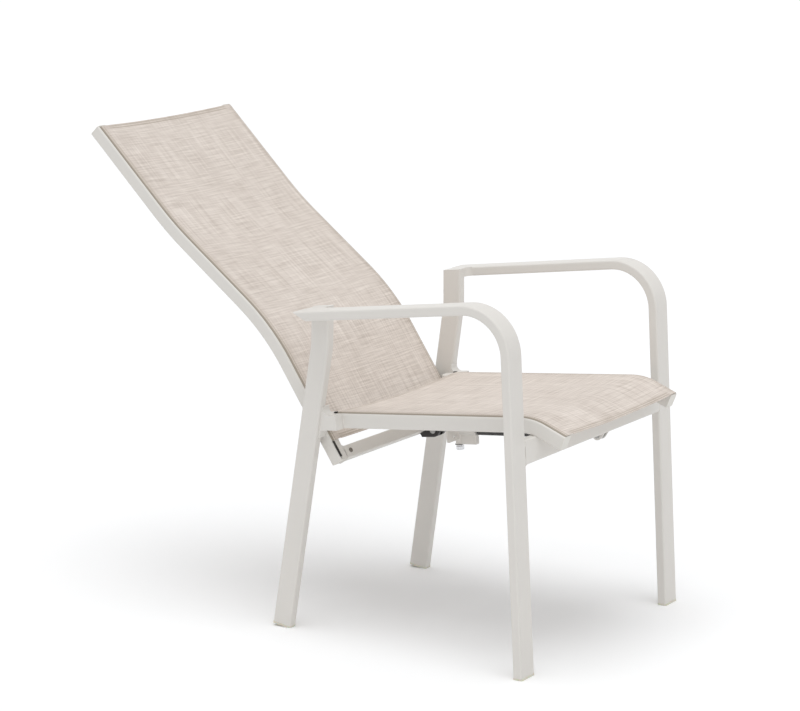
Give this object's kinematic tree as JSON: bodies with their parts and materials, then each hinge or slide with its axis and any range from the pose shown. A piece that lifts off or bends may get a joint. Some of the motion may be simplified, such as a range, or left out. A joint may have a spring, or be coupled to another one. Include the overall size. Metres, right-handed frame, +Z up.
{
  "type": "reclining garden armchair",
  "caption": "Garden armchair with a light tube frame, a stretched fabric seat and back, flat bent arms, and a back that reclines on a gas spring with a release button below the seat.",
  "frame": {"origin": "on the floor, in the middle of the box round the whole chair with the back reclined as in the picture", "axes": "+Z up, the sitter faces -Y, the sitter's left is +X"},
  "size_m": [0.6012, 1.0398, 0.9111],
  "materials": {
    "frame_coat": "fine matt powder coat, warm light grey",
    "sling_fabric": "beige melange open weave, stretched",
    "edge_cord": "extruded edge cord",
    "glide_plastic": "translucent pale plastic",
    "cap_plastic": "pale plastic",
    "fastener_steel": "zinc plated",
    "fitting_steel": "turned steel",
    "bush_plastic": "moulded",
    "rod_chrome": "polished",
    "button_chrome": "polished",
    "cylinder_paint": "black satin",
    "black_plastic": "moulded black",
    "head_plastic": "coated casting"
  },
  "bodies": {
    "frame": {"arm_and_front_leg_left": "frame_coat", "arm_and_front_leg_right": "frame_coat", "arm_end_plugs": "frame_coat", "arm_knuckles": "frame_coat", "front_cross_bar": "frame_coat", "front_foot_glides": "glide_plastic", "hinge_bolts": "fastener_steel", "hinge_inserts": "fastener_steel", "hinge_spacers": "fitting_steel", "rear_foot_glides": "glide_plastic", "rear_leg_left": "frame_coat", "rear_leg_right": "frame_coat", "rear_lug_left": "frame_coat", "rear_lug_right": "frame_coat", "seat_edge_cord_left": "edge_cord", "seat_edge_cord_right": "edge_cord", "seat_rail_front_caps": "cap_plastic", "seat_rail_left": "frame_coat", "seat_rail_rear_caps": "cap_plastic", "seat_rail_right": "frame_coat", "seat_rear_tie": "frame_coat", "seat_sling": "sling_fabric", "spring_front_bracket": "frame_coat", "spring_front_pin": "fastener_steel"},
    "back": {"back_edge_cord_left": "edge_cord", "back_edge_cord_right": "edge_cord", "back_lower_tie": "frame_coat", "back_sling": "sling_fabric", "back_tie_screws": "fastener_steel", "back_tube_bottom_caps": "cap_plastic", "back_tube_left": "frame_coat", "back_tube_right": "frame_coat", "back_tube_top_caps": "cap_plastic", "back_upper_spreader": "frame_coat", "hinge_bushes": "bush_plastic", "spring_rear_clevis": "black_plastic", "spring_rear_pin": "fastener_steel"},
    "spring_body": {"spring_cylinder": "cylinder_paint", "spring_gland": "black_plastic", "spring_front_eye": "fitting_steel"},
    "spring_rod_body": {"spring_rod": "rod_chrome", "spring_piston": "fitting_steel", "spring_rod_eye": "fitting_steel", "release_head": "head_plastic", "release_head_flange": "frame_coat", "button_collar": "black_plastic"},
    "button": {"release_button": "button_chrome"}
  },
  "joints": [
    {"name": "back_recline", "type": "hinge", "parent": "frame", "child": "back", "pos_m": [0, 0.00421, 0.3885], "axis": [1, 0, 0], "range_deg": [0, 25]},
    {"name": "spring_swing", "type": "hinge", "parent": "frame", "child": "spring_body", "pos_m": [0.094, -0.42108, 0.36291], "axis": [1, 0, 0], "range_deg": [-3.26, 0]},
    {"name": "spring_slide", "type": "slide", "parent": "spring_body", "child": "spring_rod_body", "axis": [0, 0.9954, -0.096], "range_m": [0, 0.03347]},
    {"name": "release_press", "type": "slide", "parent": "spring_rod_body", "child": "button", "axis": [0, 0.096, 0.9954], "range_m": [0, 0.0025], "stiffness_N_per_m": 600, "springref_m": -0.004}
  ],
  "couplings": [
    {"joint": "spring_swing", "follows": "back_recline", "ratio": -0.13042},
    {"joint": "spring_slide", "follows": "back_recline", "m_per_rad": 0.07667}
  ]
}
